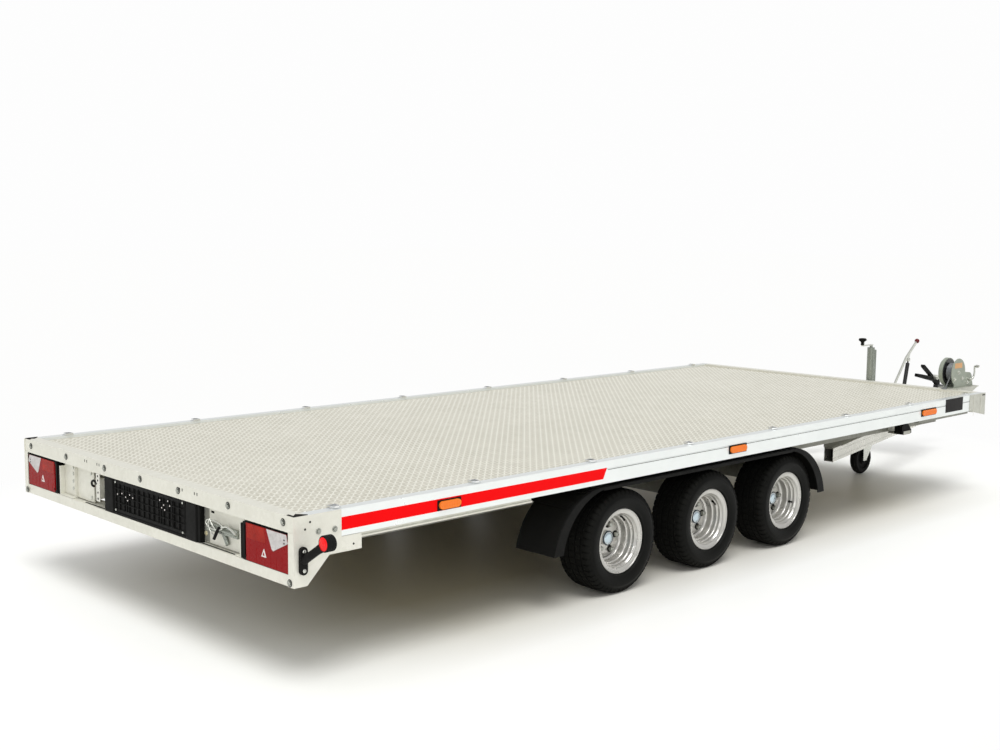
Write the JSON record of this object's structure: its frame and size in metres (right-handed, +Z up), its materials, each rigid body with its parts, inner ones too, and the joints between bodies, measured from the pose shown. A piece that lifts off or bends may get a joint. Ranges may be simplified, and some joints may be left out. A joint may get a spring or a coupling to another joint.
{
  "type": "car hauler trailer",
  "caption": "Low flat-deck car hauler trailer on three axles, with V drawbar, ball coupling, jockey wheel, hand winch and stowed ramps.",
  "frame": {"origin": "on the floor under the middle of the overall length and width", "axes": "+X forwards to the coupling, +Y to the left, +Z up"},
  "size_m": [6.7, 2.39, 0.898],
  "materials": {
    "chequerAluminium": "raised tread pattern, dull",
    "railAluminium": "extruded, satin anodised",
    "galvanised": "hot dip galvanised, faint spangle",
    "zincPlate": "bright zinc plated",
    "blackPlastic": "moulded, fine grain",
    "blackRubber": "matte",
    "blackPaint": "powder coated",
    "tyre": "moulded rubber",
    "rimPaint": "silver lacquer",
    "lampBody": "moulded red lens in a black housing",
    "amberLens": "moulded amber lens",
    "ropeWound": "wound wire rope"
  },
  "bodies": {
    "chassis": {"deckPlate": "chequerAluminium", "rearBeam": "galvanised", "rearSill": "galvanised", "frontBeam": "galvanised", "rearCorners": "galvanised", "frontCorners": "galvanised", "chassisMembers": "galvanised", "drawbarArms": "galvanised", "rearLamps": "lampBody", "railLeft": "railAluminium", "railRight": "railAluminium", "crossMembers": "galvanised", "axleTubes": "galvanised", "swingArms": "galvanised", "axleBrackets": "galvanised", "armHangers": "galvanised", "drawbarHead": "galvanised", "overrunHousing": "galvanised", "bellows": "blackRubber", "couplingHead": "blackPaint", "couplingHandle": "blackPlastic", "handbrakeLever": "zincPlate", "gasStrut": "blackPlastic", "jockeyClamp": "galvanised", "mudguards": "blackPlastic", "mudguardStays": "galvanised", "rampRunners": "galvanised", "outlineLamps": "blackRubber", "sideMarkers": "amberLens", "lashingRings": "zincPlate", "plateCarrier": "blackPlastic", "winchBracket": "galvanised", "winchFrame": "zincPlate", "winchDrum": "ropeWound", "winchCrank": "zincPlate", "winchRope": "ropeWound", "wheelChock": "blackRubber", "chockHolder": "galvanised"},
    "rampLeft": {"rampLeft": "railAluminium"},
    "rampRight": {"rampRight": "railAluminium", "rampLatch": "zincPlate"},
    "jockeyLeg": {"jockeyLeg": "zincPlate", "jockeyCrank": "zincPlate"},
    "jockeyInner": {"jockeyInner": "zincPlate"},
    "jockeyFork": {"jockeyFork": "zincPlate"},
    "jockeyWheel": {"jockeyWheel": "blackRubber"},
    "wheelRearLeft": {"tyreRearLeft": "tyre", "rimRearLeft": "rimPaint"},
    "wheelRearRight": {"tyreRearRight": "tyre", "rimRearRight": "rimPaint"},
    "wheelMiddleLeft": {"tyreMiddleLeft": "tyre", "rimMiddleLeft": "rimPaint"},
    "wheelMiddleRight": {"tyreMiddleRight": "tyre", "rimMiddleRight": "rimPaint"},
    "wheelFrontLeft": {"tyreFrontLeft": "tyre", "rimFrontLeft": "rimPaint"},
    "wheelFrontRight": {"tyreFrontRight": "tyre", "rimFrontRight": "rimPaint"}
  },
  "joints": [
    {"name": "wheelRearLeftSpin", "type": "hinge", "parent": "chassis", "child": "wheelRearLeft", "pos_m": [-1.583, 0.937, 0.234], "axis": [0, 1, 0], "continuous": true},
    {"name": "wheelRearRightSpin", "type": "hinge", "parent": "chassis", "child": "wheelRearRight", "pos_m": [-1.583, -0.937, 0.234], "axis": [0, 1, 0], "continuous": true},
    {"name": "wheelMiddleLeftSpin", "type": "hinge", "parent": "chassis", "child": "wheelMiddleLeft", "pos_m": [-0.947, 0.937, 0.234], "axis": [0, 1, 0], "continuous": true},
    {"name": "wheelMiddleRightSpin", "type": "hinge", "parent": "chassis", "child": "wheelMiddleRight", "pos_m": [-0.947, -0.937, 0.234], "axis": [0, 1, 0], "continuous": true},
    {"name": "wheelFrontLeftSpin", "type": "hinge", "parent": "chassis", "child": "wheelFrontLeft", "pos_m": [-0.311, 0.937, 0.234], "axis": [0, 1, 0], "continuous": true},
    {"name": "wheelFrontRightSpin", "type": "hinge", "parent": "chassis", "child": "wheelFrontRight", "pos_m": [-0.311, -0.937, 0.234], "axis": [0, 1, 0], "continuous": true},
    {"name": "jockeyLift", "type": "slide", "parent": "chassis", "child": "jockeyLeg", "axis": [0, 0, 1], "range_m": [0, 0.055]},
    {"name": "jockeyScrew", "type": "slide", "parent": "jockeyLeg", "child": "jockeyInner", "axis": [0, 0, 1], "range_m": [-0.15, 0.01]},
    {"name": "jockeySwivel", "type": "hinge", "parent": "jockeyInner", "child": "jockeyFork", "pos_m": [1.8, -0.25016, 0.22], "axis": [0, 0, 1], "continuous": true},
    {"name": "jockeyWheelSpin", "type": "hinge", "parent": "jockeyFork", "child": "jockeyWheel", "pos_m": [1.725, -0.25016, 0.1], "axis": [0, 1, 0], "continuous": true},
    {"name": "rampLeftSlide", "type": "slide", "parent": "chassis", "child": "rampLeft", "axis": [-1, 0, 0], "range_m": [0, 1.4]},
    {"name": "rampRightSlide", "type": "slide", "parent": "chassis", "child": "rampRight", "axis": [-1, 0, 0], "range_m": [0, 1.4]}
  ]
}
